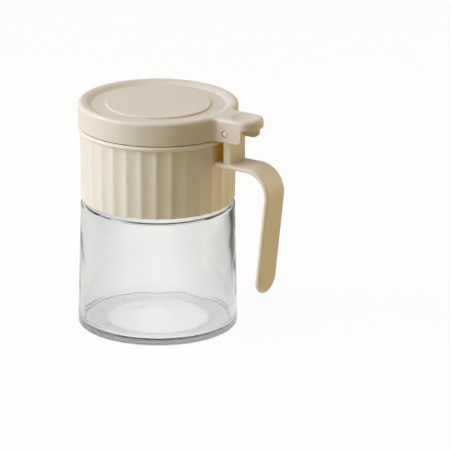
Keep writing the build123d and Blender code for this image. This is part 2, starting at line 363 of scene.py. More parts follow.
def thread(wall_radius, outwards, start, turns):
    """Helical rib that stands outwards (1) or inwards (-1) from a round wall."""
    foot = wall_radius - THREAD_SINK * outwards
    crest = wall_radius + THREAD_HEIGHT * outwards
    taper = (THREAD_ROOT_WIDTH - THREAD_CREST_WIDTH) / 2
    rib = start_outline("thread", foot, 0, start - THREAD_ROOT_WIDTH / 2)
    push(x=crest - foot, z=taper)
    push(z=THREAD_CREST_WIDTH)
    push(x=foot - crest, z=taper)
    push(z=-THREAD_ROOT_WIDTH)
    tidy_mesh()
    bpy.ops.object.mode_set(mode="OBJECT")
    steps = round(THREAD_STEPS * turns)
    climb = THREAD_PITCH * turns * MM
    full_angle = 2 * math.pi * turns
    modify(rib, "SCREW", angle=full_angle, screw_offset=climb, steps=steps, render_steps=steps)
    with editing(rib):
        choose_all()
        bpy.ops.mesh.fill_holes(sides=0)
        tidy_mesh()
    report(rib)
    return rib


# %% [markdown]
# ## The glass jar
#
# The jar is pressed glass with a thick floor, a hollow under it, a wall that widens towards
# the foot, and a threaded neck that the collar hides. The plunger leaves the inner wall a
# little wavy, and this draws the wobbly dark lines near the edges of a real jar. So the walls
# get extra rings, and every point of the inner one moves in or out by a slow wave. The sloping
# shoulder is a little thicker than the wall, which draws its soft second line.

# %% Sizes of the jar
SHOULDER_HEIGHT = 69.1  # where the wall's line meets the slope's
NECK_RADIUS = 36.2
JAR_HEIGHT = 91.5
NECK_WALL = 2.6
GLASS_WALL = 2.8
SHOULDER_RADIUS = 41.8
FOOT_RADIUS = 43.4
FLOOR_HEIGHT = 3.0
FLOOR_RISE = 0.8
FLOOR_RINGS = 10
FLOOR_START = 2.0  # radius of the floor's first ring
FLOOR_MARGIN = 1.0  # from its last ring to the heel's round
STANDING_RING = 7.0
PUNT_DEPTH = 1.2
PUNT_ROUND = 2.0
HEEL_ROUND = 1.6
INNER_HEEL_ROUND = 3.0
SHOULDER_ROUND = 3.0
SHOULDER_SLOPE = 29.0  # degrees, from the shoulder up to the neck
SLOPE_WALL = 3.3  # the glass is a little thicker in the slope
INNER_SHOULDER_ROUND = 0.6
INNER_NECK_ROUND = 2.0
LIP_ROUND = 1.0
WALL_RINGS = 28
WAVE_DEPTH = 0.07  # how far the inner wall wanders in and out
WAVE_FADE = 6.0  # height over which the waves begin and end
SLOW_SHARE = 0.65
SLOW_WAVES = ((3, 0.9, 0.06), (5, 0, -0.11))  # waves round the jar, start, turn for each mm
QUICK_SHARE = 0.35
QUICK_WAVES = ((13, 0, 0.21), (8, 2.0, -0.34))
LONG_EDGE = 0.7  # a wall's long edges are longer than this share of its height
NEAR_WALL = 0.05

# %% The jar's outline
neck_bore = NECK_RADIUS - NECK_WALL
floor_radius = FOOT_RADIUS - GLASS_WALL
slope = math.tan(math.radians(SHOULDER_SLOPE))
sunk = SLOPE_WALL / math.cos(math.radians(SHOULDER_SLOPE))


def slope_height(radius):
    """Height of the shoulder's outer slope at a radius."""
    return SHOULDER_HEIGHT + (SHOULDER_RADIUS - radius) * slope


inner_shoulder_radius = SHOULDER_RADIUS - GLASS_WALL
inner_shoulder = (inner_shoulder_radius, slope_height(inner_shoulder_radius) - sunk)
punt_radius = FOOT_RADIUS - HEEL_ROUND - STANDING_RING
rings_end = floor_radius - INNER_HEEL_ROUND - FLOOR_MARGIN
inner_floor = []
for number in range(FLOOR_RINGS):
    ring_radius = FLOOR_START + (rings_end - FLOOR_START) * number / FLOOR_RINGS
    rise = FLOOR_RISE * (1 - (ring_radius / floor_radius) ** 2)
    inner_floor.append((ring_radius, FLOOR_HEIGHT + rise, 0))
punt = []
for number in range(1, FLOOR_RINGS):
    outwards = 1 - number / FLOOR_RINGS
    punt.append((punt_radius * outwards, PUNT_DEPTH * (1 - outwards**2), 0))
jar = turned(
    "jar_glass",
    [
        *inner_floor,
        (floor_radius, FLOOR_HEIGHT, INNER_HEEL_ROUND),
        (*inner_shoulder, INNER_SHOULDER_ROUND),
        (neck_bore, slope_height(neck_bore) - sunk, INNER_NECK_ROUND),
        (neck_bore, JAR_HEIGHT, LIP_ROUND),
        (NECK_RADIUS, JAR_HEIGHT, LIP_ROUND),
        (NECK_RADIUS, slope_height(NECK_RADIUS), LIP_ROUND),
        (SHOULDER_RADIUS, SHOULDER_HEIGHT, SHOULDER_ROUND),
        (FOOT_RADIUS, 0, HEEL_ROUND),
        (punt_radius, 0, PUNT_ROUND),
        *punt,
        (0, PUNT_DEPTH, 0),
    ],
    steps=7,
)
thread_start = JAR_HEIGHT - THREAD_BELOW_LIP - THREAD_PITCH * JAR_THREAD_TURNS

# %% Waves in the inner wall
inner_heel_top = FLOOR_HEIGHT + INNER_HEEL_ROUND
wall_top = inner_shoulder[1] - SHOULDER_ROUND


def wave(angle, height):
    """How far the inner wall moves inwards at a place, in millimetres."""
    slow, quick = (
        sum(math.sin(number * angle + start + turn * height) for number, start, turn in waves)
        for waves in (SLOW_WAVES, QUICK_WAVES)
    )
    from_end = min(height - inner_heel_top, wall_top - height)
    fade = min(1, max(0, from_end / WAVE_FADE))
    return WAVE_DEPTH * fade * (SLOW_SHARE * slow + QUICK_SHARE * quick)


with editing(jar):
    mesh = bmesh.from_edit_mesh(jar.data)
    bpy.ops.mesh.select_mode(type="EDGE")
    bpy.ops.mesh.select_all(action="DESELECT")
    for edge in mesh.edges:
        low, high = sorted(vert.co.z / MM for vert in edge.verts)
        edge.select_set(high - low > LONG_EDGE * wall_top)
    bmesh.update_edit_mesh(jar.data)
    bpy.ops.mesh.subdivide(number_cuts=WALL_RINGS)
    mesh = bmesh.from_edit_mesh(jar.data)
    for vert in mesh.verts:
        x, y, z = vert.co / MM
        radius = math.hypot(x, y)
        share = (z - FLOOR_HEIGHT) / (inner_shoulder[1] - FLOOR_HEIGHT)
        wall = floor_radius + (inner_shoulder[0] - floor_radius) * share
        if abs(radius - wall) < NEAR_WALL and inner_heel_top < z < wall_top:
            squeeze = 1 - wave(math.atan2(y, x), z) / radius
            vert.co.x *= squeeze
            vert.co.y *= squeeze
    bmesh.update_edit_mesh(jar.data)
combine(jar, thread(NECK_RADIUS, 1, thread_start, JAR_THREAD_TURNS), "UNION")
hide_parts("glass_jar")
finish_surface(jar, "jar")

# %% [markdown]
# ## The ring inside the collar
#
# One more plastic piece sits inside: it has the female thread, a ledge that presses on the
# jar's lip, the open well, the mouth's rim and the light bead between the collar and the lid.
# Only the bead shows, but the well is seen as soon as the lid opens. A snap rib and four keys
# lock it in the collar.

# %% Ring
RING_BOTTOM = 74.0
RING_OUTER = 39.55
BEAD_RADIUS = 43.7
BEAD_BOTTOM = 109.3
BEAD_TOP = 111.9
BEAD_ROUND = 1.2
MOUTH_OUTER = 38.5
MOUTH_INNER = 37.0
MOUTH_TOP = 115.9
MOUTH_ROUND = 0.6
LEDGE_BOTTOM = 93.0
FUNNEL_TOP = 100.0
FUNNEL_BOTTOM = 95.0
FUNNEL_TOP_ROUND = 3.0
FUNNEL_FOOT_ROUND = 0.9
SMALL_ROUND = 0.3
SNAP_HEIGHT = 0.4
SNAP_WIDTH = 1.4
SNAP_ROUND = 0.2
SNAP_FROM_END = 2.2
KEYS = 4
FIRST_KEY_ANGLE = 45
KEY_WIDTH = 4.0
KEY_DEPTH = 0.8
KEY_FROM_END = 6.0
KEY_BELOW_BEAD = 3.0
SLIP_GAP = 0.1
ring_bore = NECK_RADIUS + THREAD_HEIGHT + THREAD_GAP
snap_bottom = RING_BOTTOM + SNAP_FROM_END


def combine_keys(piece, inner_radius, top, gap, operation):
    """Add the keys to a piece, or cut their slots, which are wider by a gap all round."""
    for number in range(KEYS):
        key = slab(
            (inner_radius, RING_OUTER + KEY_DEPTH + gap),
            (-KEY_WIDTH / 2 - gap, KEY_WIDTH / 2 + gap),
            (RING_BOTTOM + KEY_FROM_END - gap, top),
            FIRST_KEY_ANGLE + 360 / KEYS * number,
        )
        combine(piece, key, operation)


ring = turned(
    "screw_ring_shell",
    [
        (ring_bore, RING_BOTTOM, SMALL_ROUND),
        (RING_OUTER, RING_BOTTOM, SMALL_ROUND),
        (RING_OUTER, snap_bottom, 0),
        (RING_OUTER + SNAP_HEIGHT, snap_bottom + SNAP_WIDTH / 2, SNAP_ROUND),
        (RING_OUTER, snap_bottom + SNAP_WIDTH, 0),
        (RING_OUTER, BEAD_BOTTOM, 0),
        (BEAD_RADIUS, BEAD_BOTTOM, BEAD_ROUND),
        (BEAD_RADIUS, BEAD_TOP, BEAD_ROUND),
        (MOUTH_OUTER, BEAD_TOP, SMALL_ROUND),
        (MOUTH_OUTER, MOUTH_TOP, MOUTH_ROUND),
        (MOUTH_INNER, MOUTH_TOP, MOUTH_ROUND),
        (MOUTH_INNER, FUNNEL_TOP, FUNNEL_TOP_ROUND),
        (neck_bore, FUNNEL_BOTTOM, FUNNEL_FOOT_ROUND),
        (neck_bore, LEDGE_BOTTOM, 0),
        (ring_bore, LEDGE_BOTTOM, 0),
    ],
    steps=6,
)
ring_thread_start = thread_start - THREAD_PITCH / 2
combine(ring, thread(ring_bore, -1, ring_thread_start, RING_THREAD_TURNS), "UNION")
combine_keys(ring, ring_bore + SLIP_GAP, BEAD_BOTTOM - KEY_BELOW_BEAD, 0, "UNION")
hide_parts("screw_ring")
finish_surface(ring, "collar")

# %% [markdown]
# ## The collar, its handle and the hinge post
#
# These three are one moulding. The sleeve has 32 hollow flutes that meet in fine ridges. One
# flute is an arc, which spin copies round the axis. The outline is filled and pushed upwards,
# its top is widened a little, and the ridges get a bevel. The handle is a flat strip with soft
# edges. Its cross-section is pushed out from the sleeve, swung round the bend and pushed down,
# and half of it is swung once more for the round tip.

# %% Sizes of the collar
FLUTES = 32
FLUTE_TURN = -1.0  # degrees, from the hinge's side to the nearest ridge
FLUTE_DEPTH = 0.65
FLUTE_STEPS = 10
RIDGE_ROUND = 0.85
COLLAR_BOTTOM = 71.1
COLLAR_TOP = 109.2
COLLAR_FLARE = 0.7
COLLAR_BORE = 39.65
COLLAR_EDGE_ROUND = 0.25
CUTTER_MARGIN = 1.0  # how far a cutter reaches past the collar
ridge_bottom = SHOULDER_RADIUS
ridge_top = ridge_bottom + COLLAR_FLARE

# %% The fluted sleeve
flute_angle = 2 * math.pi / FLUTES
half_chord = ridge_bottom * math.sin(flute_angle / 2)
sagitta = ridge_bottom * math.cos(flute_angle / 2) - (ridge_bottom - FLUTE_DEPTH)
arc_radius = (half_chord**2 + sagitta**2) / (2 * sagitta)
arc_distance = ridge_bottom - FLUTE_DEPTH + arc_radius
first_ridge = math.radians(FLUTE_TURN)
arc_centre = (
    arc_distance * math.cos(first_ridge + flute_angle / 2),
    arc_distance * math.sin(first_ridge + flute_angle / 2),
    COLLAR_BOTTOM,
)
print("flute radius", round(arc_radius, 1))


def ridge_radius(height):
    """Radius of the ridges at a height."""
    return ridge_bottom + COLLAR_FLARE * (height - COLLAR_BOTTOM) / (COLLAR_TOP - COLLAR_BOTTOM)


ridge_place = (ridge_bottom * math.cos(first_ridge), ridge_bottom * math.sin(first_ridge))
collar = start_outline("fluted_collar", *ridge_place, COLLAR_BOTTOM)
swing(arc_centre, Z_AXIS, -2 * math.degrees(math.asin(half_chord / arc_radius)), FLUTE_STEPS)
choose_all()
last_copy = 2 * math.pi - flute_angle
bpy.ops.mesh.spin(steps=FLUTES - 1, dupli=True, angle=last_copy, center=(0, 0, 0), axis=Z_AXIS)
fill_outline(z=COLLAR_TOP - COLLAR_BOTTOM)
with editing(collar):
    choose("VERT", at_height(COLLAR_TOP))
    flare = ridge_top / ridge_bottom
    bpy.ops.transform.resize(value=(flare, flare, 1), center_override=mm(0, 0, COLLAR_TOP))
    choose("EDGE", lambda p: abs(math.hypot(p.x, p.y) - ridge_radius(p.z)) < TINY)
    bevel(RIDGE_ROUND, 4)
    for end_height in (COLLAR_BOTTOM, COLLAR_TOP):
        choose("EDGE", at_height(end_height))
        bevel(COLLAR_EDGE_ROUND, 2)
    tidy_mesh()

# %% Its bore, with the snap groove and the keys' slots
groove_top = snap_bottom + SNAP_WIDTH + SLIP_GAP
above_collar = COLLAR_TOP + CUTTER_MARGIN
bore = turned(
    "bore_cutter",
    [
        (COLLAR_BORE, COLLAR_BOTTOM - CUTTER_MARGIN, 0),
        (COLLAR_BORE, snap_bottom - SLIP_GAP, 0),
        (COLLAR_BORE + SNAP_HEIGHT, snap_bottom - SLIP_GAP, 0),
        (COLLAR_BORE + SNAP_HEIGHT, groove_top, 0),
        (COLLAR_BORE, groove_top, 0),
        (COLLAR_BORE, above_collar, 0),
        (0, above_collar, 0),
    ],
)
combine(collar, bore, "DIFFERENCE")
combine_keys(collar, COLLAR_BORE - CUTTER_MARGIN, above_collar, SLIP_GAP, "DIFFERENCE")
report(collar)

# %% Sizes of the handle and the post
HANDLE_WIDTH = 17.4
HANDLE_THICKNESS = 2.6
HANDLE_ROOT = 40.2
HANDLE_EDGE_ROUND = 1.2
PLATE_HEIGHT = 98.55
BEND_START = 61.5
BEND_RADIUS = 13.2
HANDLE_LEAN = 6.1
POST_WIDTH = 14.8
POST_THICKNESS = 4.4
POST_EDGE_ROUND = 0.4
POST_ROOT_ROUND = 0.09  # the plate's flat ends 0.1 mm beside the post
KNUCKLE_RADIUS = 3.0
PIN_RADIUS = 1.55
PIN_GAP = 0.06
PIN_AROUND = 64  # faces round the pin and its holes
hinge = Vector(joints["lid_hinge"]["pos_m"]) / MM
tip_height = node_box("handle_collar")[0].z
plate_top = PLATE_HEIGHT + HANDLE_THICKNESS / 2

# %% The handle strip
lean = math.radians(HANDLE_LEAN)
bend_centre = Vector((BEND_START, 0, PLATE_HEIGHT - BEND_RADIUS))
run_way = Vector((-math.sin(lean), 0, -math.cos(lean)))
run_face = Vector((math.cos(lean), 0, -math.sin(lean)))
run_start = bend_centre + run_face * BEND_RADIUS
run_length = (run_start.z - tip_height) / math.cos(lean) - HANDLE_WIDTH / 2
tip_centre = run_start + run_way * run_length

strip = start_from(bpy.ops.mesh.primitive_plane_add, "handle_strip", size=1)
strip.scale = (HANDLE_THICKNESS * MM, HANDLE_WIDTH * MM, 1)
strip.rotation_euler.y = math.pi / 2
strip.location = mm(HANDLE_ROOT, 0, PLATE_HEIGHT)
bpy.ops.object.transform_apply()
with editing(strip):
    choose_all()
    bevel(HANDLE_EDGE_ROUND, 5, affect="VERTICES")
    choose("EDGE", lambda p: abs(p.z - PLATE_HEIGHT) > HANDLE_THICKNESS / 2 - TINY)
    bpy.ops.mesh.subdivide(number_cuts=1)
    choose_all()
    push(x=BEND_START - HANDLE_ROOT)
    swing(bend_centre, Y_AXIS, 90 + HANDLE_LEAN, steps=28)
    push(*(run_way * run_length))
    choose("EDGE", lambda p: abs((p - tip_centre).dot(run_way)) < TINY and abs(p.y) < TINY)
    bpy.ops.mesh.delete(type="EDGE")
    choose("EDGE", lambda p: abs((p - tip_centre).dot(run_way)) < TINY and p.y > -TINY)
    swing(tip_centre, run_face, -180, steps=24)
    tidy_mesh()
report(strip)

# %% The hinge post
half_post = POST_THICKNESS / 2
neck_angle = math.asin(half_post / KNUCKLE_RADIUS)
neck_height = hinge.z - KNUCKLE_RADIUS * math.cos(neck_angle)
post = start_outline("hinge_post", hinge.x + half_post, -POST_WIDTH / 2, PLATE_HEIGHT)
push(z=neck_height - PLATE_HEIGHT)
knuckle_angle = 360 - 2 * math.degrees(neck_angle)
swing((hinge.x, -POST_WIDTH / 2, hinge.z), Y_AXIS, -knuckle_angle, steps=40)
push(z=PLATE_HEIGHT - neck_height)
fill_outline(y=POST_WIDTH)
with editing(post):
    choose("EDGE", lambda p: abs(abs(p.y) - POST_WIDTH / 2) < TINY)
    bevel(POST_EDGE_ROUND, 3)
    tidy_mesh()
report(post)


# %% Join them and bore the hinge
def rod(radius, length):
    """Plain bar on the hinge's axis, for cutting holes."""
    return start_from(
        bpy.ops.mesh.primitive_cylinder_add,
        "rod",
        vertices=PIN_AROUND,
        radius=radius * MM,
        depth=length * MM,
        location=mm(*hinge),
        rotation=(math.pi / 2, 0, 0),
    )


combine(collar, strip, "UNION")
combine(collar, post, "UNION")
combine(collar, rod(PIN_RADIUS + PIN_GAP, 2 * POST_WIDTH), "DIFFERENCE")
with editing(collar):
    merge_doubles()
    at_root = choose(
        "EDGE",
        lambda p: abs(p.z - plate_top) < TINY
        and abs(p.x - hinge.x) < half_post + TINY
        and abs(p.y) < POST_WIDTH / 2 + TINY,
    )
    bevel(POST_ROOT_ROUND, 3)
print("edges at the post's root:", at_root)
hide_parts("handle_collar")
finish_surface(collar, "collar")

# %% [markdown]
# ## The lid
#
# The lid is round, with a hinge head that grows out of it in a soft curve: two cheeks hold the
# pin, and a thumb tab sticks out over the post. Seen from above this is one outline, drawn with
# arcs and mirrored. The top edge gets a generous bevel all round. Then turned and drawn cutters
# take out the dished top, the hollow underneath and the slot between the cheeks. The thumb
# scoop comes last: the tab's flat top is sliced in a fine grid, and its points sink smoothly.

# %% Sizes of the lid
lid_low, lid_high = node_box("lid")
LID_RADIUS = 43.3
LID_WALL = 2.0
LID_TOP_ROUND = 2.0
RIM_CREST_INSET = 2.5
RIM_SLOPE_WIDTH = 5.0
RIM_DEPTH = 2.0
ANNULUS_WIDTH = 7.4
DISC_RISE = 1.1
DISC_ROUND = 0.6
HEAD_HALF_WIDTH = 9.7
HEAD_FRONT = 59.6
HEAD_BLEND_ROUND = 4.5
HEAD_CORNER_ROUND = 5.5
HEAD_GAP = 15.1
TAB_UNDERSIDE = 120.4
CHEEK_CORNER_ROUND = 3.8
PIN_RING_RADIUS = 2.0
PIN_RING_DEPTH = 0.9
LID_EDGE_ROUND = 0.6
SEAL_INNER = 36.4
SEAL_OUTER = 39.1
SEAL_BOTTOM = 116.0
RIB_BOTTOM = 117.4
RIB_WALL = 1.0
RIB_GAP = 0.1
RIB_ROUND = 0.3
RIB_ROOT_ROUND = 0.6
UNDER_LID = 4.0  # how far the cutters reach below the lid
OVER_LID = 3.0  # and above it
CUT_TOLERANCE = 1e-7  # metres, for slicing faces
CHEEK_MARGIN = 1.0  # points of the cheeks' outer sides lie within this
lid_bottom = lid_low.z
lid_top = lid_high.z
tab_reach = lid_high.x
rim_foot = lid_top - RIM_DEPTH
lid_underside = rim_foot - LID_WALL
lid_bore = LID_RADIUS - LID_WALL
crest_radius = LID_RADIUS - RIM_CREST_INSET
slope_foot_radius = crest_radius - RIM_SLOPE_WIDTH
disc_radius = slope_foot_radius - ANNULUS_WIDTH
under_lid = lid_bottom - UNDER_LID

# %% The lid's outline
blend_y = HEAD_HALF_WIDTH + HEAD_BLEND_ROUND
blend_x = math.sqrt((LID_RADIUS + HEAD_BLEND_ROUND) ** 2 - blend_y**2)
blend_angle = math.degrees(math.atan2(blend_y, blend_x))
bow = tab_reach - HEAD_FRONT
bow_radius = (HEAD_HALF_WIDTH**2 + bow**2) / (2 * bow)
bow_x = tab_reach - bow_radius
corner_y = HEAD_HALF_WIDTH - HEAD_CORNER_ROUND
corner_x = bow_x + math.sqrt((bow_radius - HEAD_CORNER_ROUND) ** 2 - corner_y**2)
corner_angle = math.degrees(math.atan2(corner_y, corner_x - bow_x))

lid = start_outline("lid_shell", tab_reach, 0, lid_bottom)
swing((bow_x, 0, lid_bottom), Z_AXIS, corner_angle, steps=8)
swing((corner_x, corner_y, lid_bottom), Z_AXIS, 90 - corner_angle, steps=4)
push(x=blend_x - corner_x)
swing((blend_x, blend_y, lid_bottom), Z_AXIS, blend_angle - 90, steps=12)
swing((0, 0, lid_bottom), Z_AXIS, 180 - blend_angle, steps=124)
bpy.ops.object.mode_set(mode="OBJECT")
modify(lid, "MIRROR", use_axis=(False, True, False))
bpy.ops.object.mode_set(mode="EDIT")
fill_outline(z=lid_top - lid_bottom)
with editing(lid):
    choose("EDGE", at_height(lid_top))
    bevel(LID_TOP_ROUND, 7, clamp_overlap=False)
    tidy_mesh()
report(lid)

# %% The dished top
RIM_FOOT_SOFTNESS = 0.3  # how far the slope's foot and crest are rounded off, along the top
RIM_CREST_SOFTNESS = 1.5
DISH_OVERLAP = 0.01  # how far the cutter's slope runs on above the top
DISH_MARGIN = 0.2  # and its edge past the crest
over_top = lid_top + OVER_LID
above_top = lid_top + DISH_OVERLAP
dish_edge = crest_radius + DISH_MARGIN
foot_corner = slope_foot_radius + RIM_FOOT_SOFTNESS
crest_corner = crest_radius - RIM_CREST_SOFTNESS
half_turn = math.tan(math.atan2(above_top - rim_foot, crest_corner - foot_corner) / 2)
dish = turned(
    "dish_cutter",
    [
        (disc_radius, rim_foot + DISC_RISE, DISC_ROUND),
        (disc_radius, rim_foot, 0),
        (foot_corner, rim_foot, RIM_FOOT_SOFTNESS / half_turn),
        (crest_corner, above_top, RIM_CREST_SOFTNESS / half_turn),
        (dish_edge, above_top, 0),
        (dish_edge, over_top, 0),
        (0, over_top, 0),
    ],
    steps=8,
)
combine(lid, dish, "DIFFERENCE")

# %% The hollow underneath, with two ribs that hold the seal
rib_outer = SEAL_OUTER + RIB_GAP
rib_inner = SEAL_INNER - RIB_GAP
hollow = turned(
    "hollow_cutter",
    [
        (lid_bore, under_lid, 0),
        (lid_bore, lid_underside, RIB_WALL),
        (rib_outer + RIB_WALL, lid_underside, 0),
        (rib_outer + RIB_WALL, RIB_BOTTOM, RIB_ROUND),
        (rib_outer, RIB_BOTTOM, RIB_ROUND),
        (rib_outer, lid_underside, 0),
        (rib_inner, lid_underside, 0),
        (rib_inner, RIB_BOTTOM, RIB_ROUND),
        (rib_inner - RIB_WALL, RIB_BOTTOM, RIB_ROUND),
        (rib_inner - RIB_WALL, lid_underside, RIB_ROOT_ROUND),
        (0, lid_underside, 0),
    ],
)
combine(lid, hollow, "DIFFERENCE")

# %% The slot between the cheeks and the space under the tab
slot_angle = math.degrees(math.asin(HEAD_GAP / 2 / LID_RADIUS))
slot_x = LID_RADIUS * math.cos(math.radians(slot_angle))
slot = start_outline("slot_cutter", slot_x, -HEAD_GAP / 2, under_lid)
swing((0, 0, under_lid), Z_AXIS, 2 * slot_angle, steps=14)
push(x=LID_RADIUS)
push(y=-HEAD_GAP)
push(x=-LID_RADIUS)
fill_outline(z=TAB_UNDERSIDE - under_lid)
combine(lid, slot, "DIFFERENCE")

cheek_x = HEAD_FRONT - CHEEK_CORNER_ROUND  # the middle of the cheeks' round corner
cheek_z = lid_bottom + CHEEK_CORNER_ROUND
beside = 2 * HEAD_HALF_WIDTH
beyond = HEAD_FRONT / 4
under_tab = start_outline("under_tab_cutter", cheek_x, -beside, lid_bottom)
swing((cheek_x, -beside, cheek_z), Y_AXIS, -90, steps=10)
push(z=TAB_UNDERSIDE - lid_bottom - CHEEK_CORNER_ROUND)
push(x=beyond)
push(z=under_lid - TAB_UNDERSIDE)
push(x=-beyond - CHEEK_CORNER_ROUND)
fill_outline(y=2 * beside)
combine(lid, under_tab, "DIFFERENCE")
report(lid)


# %% Soft lower edges, in one chain with the cheeks' fronts
def on_cheek_front(point):
    """Test for the outer edge of a cheek's front, down to the end of its round corner."""
    if abs(point.y) < HEAD_HALF_WIDTH - CHEEK_MARGIN or point.z > TAB_UNDERSIDE + TINY:
        return False
    if point.z > cheek_z - TINY:
        return abs(point.x - HEAD_FRONT) < TINY
    from_middle = math.hypot(point.x - cheek_x, point.z - cheek_z)
    return point.x > cheek_x + TINY and abs(from_middle - CHEEK_CORNER_ROUND) < 2 * TINY


def on_lower_edge(point):
    """Test for the lid's outer lower edge, without the slot between the cheeks."""
    in_slot = point.x > 0 and abs(point.y) < HEAD_GAP / 2 + TINY
    outside = math.hypot(point.x, point.y) > LID_RADIUS - 2 * TINY
    return outside and not in_slot and abs(point.z - lid_bottom) < TINY


def slice_at(place, normal):
    """In edit mode, slice the selected faces along a plane."""
    bpy.ops.mesh.bisect(plane_co=mm(*place), plane_no=normal, threshold=CUT_TOLERANCE)


with editing(lid):
    choose("FACE", lambda p: p.x > blend_x - TINY and abs(p.y) > HEAD_GAP / 2 + TINY)
    slice_at((0, 0, TAB_UNDERSIDE), Z_AXIS)
    found = choose("EDGE", lambda p: on_lower_edge(p) or on_cheek_front(p))
    print("edges below and on the cheeks' fronts:", found)
    bevel(LID_EDGE_ROUND, 4)
    tidy_mesh()
report(lid)

# %% The pin's holes
combine(lid, rod(PIN_RADIUS, 4 * HEAD_HALF_WIDTH), "DIFFERENCE")
for side in (-1, 1):
    ring_cutter = rod(PIN_RING_RADIUS, 2 * PIN_RING_DEPTH)
    ring_cutter.location.y = side * HEAD_HALF_WIDTH * MM
    pick(ring_cutter)
    bpy.ops.object.transform_apply()
    combine(lid, ring_cutter, "DIFFERENCE")
report(lid)

# %% The thumb scoop
SCOOP_DEPTH = 1.0
SCOOP_START = 47.4
SCOOP_END = 62.6
SCOOP_HALF_WIDTH = 7.7
SCOOP_LIP = 0.55  # share of the half width over which the scoop's edge is soft
SCOOP_NEAR = 1.15  # its depth near the lid, as a share
SCOOP_RISE = 0.5  # how much of that share is gone at the tip
SCOOP_GRID = 0.6


def scoop(x, y):
    """How deep the thumb scoop is at a place: steep near the lid, rising gently to the tip."""
    along = (x - SCOOP_START) / (SCOOP_END - SCOOP_START)
    from_edge = 1 - math.hypot(2 * along - 1, y / SCOOP_HALF_WIDTH)
    share = min(1, max(0, from_edge / SCOOP_LIP))
    return SCOOP_DEPTH * share * share * (3 - 2 * share) * (SCOOP_NEAR - SCOOP_RISE * along)


def on_head(point):
    """Test for the flat top of the head, outside the lid's circle."""
    return abs(point.z - lid_top) < TINY and point.x > LID_RADIUS - TINY


def slice_head(place, normal):
    """Slice the flat top of the head along a plane."""
    choose("FACE", on_head)
    slice_at(place, normal)


with editing(lid):
    choose("FACE", at_height(lid_top))
    slice_at((LID_RADIUS, 0, 0), X_AXIS)
    for step in range(round((SCOOP_END - SCOOP_START) / SCOOP_GRID) + 2):
        slice_head((SCOOP_START - SCOOP_GRID + step * SCOOP_GRID, 0, 0), X_AXIS)
    across = round(SCOOP_HALF_WIDTH / SCOOP_GRID)
    for step in range(-across, across + 1):
        slice_head((0, step * SCOOP_GRID, 0), Y_AXIS)
    mesh = bmesh.from_edit_mesh(lid.data)
    for vert in mesh.verts:
        point = vert.co / MM
        if abs(point.z - lid_top) < TINY and point.x > SCOOP_START:
            vert.co.z -= scoop(point.x, point.y) * MM
    bmesh.update_edit_mesh(lid.data)
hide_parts("lid")
finish_surface(lid, "lid")

# %% [markdown]
# ## The seal and the hinge pin
#
# The seal is a milky silicone ring that sits between the two ribs under the lid and closes on
# the mouth. Its lip is fully rounded, as moulded silicone is. The pin is a short pale rod
# pressed through both cheeks. It is turned upright like the other round pieces, with slightly
# domed ends, and then laid along the hinge.

# %% Seal
SEAL_LIP_ROUND = 1.1
SEAL_FOOT_ROUND = 0.2
seal = turned(
    "lid_seal_ring",
    [
        (SEAL_INNER, lid_underside, SEAL_FOOT_ROUND),
        (SEAL_INNER, SEAL_BOTTOM, SEAL_LIP_ROUND),
        (SEAL_OUTER, SEAL_BOTTOM, SEAL_LIP_ROUND),
        (SEAL_OUTER, lid_underside, SEAL_FOOT_ROUND),
    ],
    steps=8,
)
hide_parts("lid_seal")
finish_surface(seal, "lid")

# %% Hinge pin
PIN_DOME = 0.2
PIN_DOME_ROUND = 0.8
PIN_EDGE_ROUND = 0.2
pin_end = node_box("hinge_pin")[1].y
pin = turned(
    "hinge_pin_rod",
    [
        (PIN_RADIUS / 2, -pin_end, PIN_DOME_ROUND),
        (PIN_RADIUS, PIN_DOME - pin_end, PIN_EDGE_ROUND),
        (PIN_RADIUS, pin_end - PIN_DOME, PIN_EDGE_ROUND),
        (PIN_RADIUS / 2, pin_end, PIN_DOME_ROUND),
        (0, pin_end, 0),
    ],
    around=PIN_AROUND,
)
pin.rotation_euler.x = math.pi / 2
pin.location = mm(*hinge)
pick(pin)
bpy.ops.object.transform_apply()
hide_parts("hinge_pin")
finish_surface(pin, "lid")

# %% [markdown]
# ## Shader maths as Python
#
# Node trees are easier to read as formulas. A small class wraps one output socket, and its
# plus, minus and times add Math nodes. Every other node comes from one method, which sets the
# node's own settings first and then fills or links its inputs.


# %% A socket that can be calculated with
def feed(place, value):
    """Link a calculated value to a node's input, or set the input's own value."""
    if isinstance(value, Socket):
        value.tree.links.new(value.socket, place)
    else:
        place.default_value = value


class Socket:
    """One output of a node. Operators add Math nodes."""

    def __init__(self, tree, socket):
        self.tree = tree
        self.socket = socket

    def math(self, operation, *others):
        return Paint(self.tree).node("ShaderNodeMath", {"operation": operation}, self, *others)

    def __add__(self, other):
        return self.math("ADD", other)

    def __sub__(self, other):
        return self.math("SUBTRACT", other)

    def __rsub__(self, other):
        return Paint(self.tree).node("ShaderNodeMath", {"operation": "SUBTRACT"}, other, self)

    def __mul__(self, other):
        return self.math("MULTIPLY", other)

    __radd__ = __add__
    __rmul__ = __mul__


class Paint:
    """Adds nodes to one material's or world's tree."""

    def __init__(self, tree):
        self.tree = tree

    def node(self, kind, settings, *values, out=0, **named):
        """A node with its settings, and with its inputs given by place or by name."""
        node = self.tree.nodes.new(kind)
        for name, value in settings.items():
            setattr(node, name, value)
        for key, value in [*enumerate(values), *named.items()]:
            feed(node.inputs[key if isinstance(key, int) else key.replace("_", " ")], value)
        return Socket(self.tree, node.outputs[out])
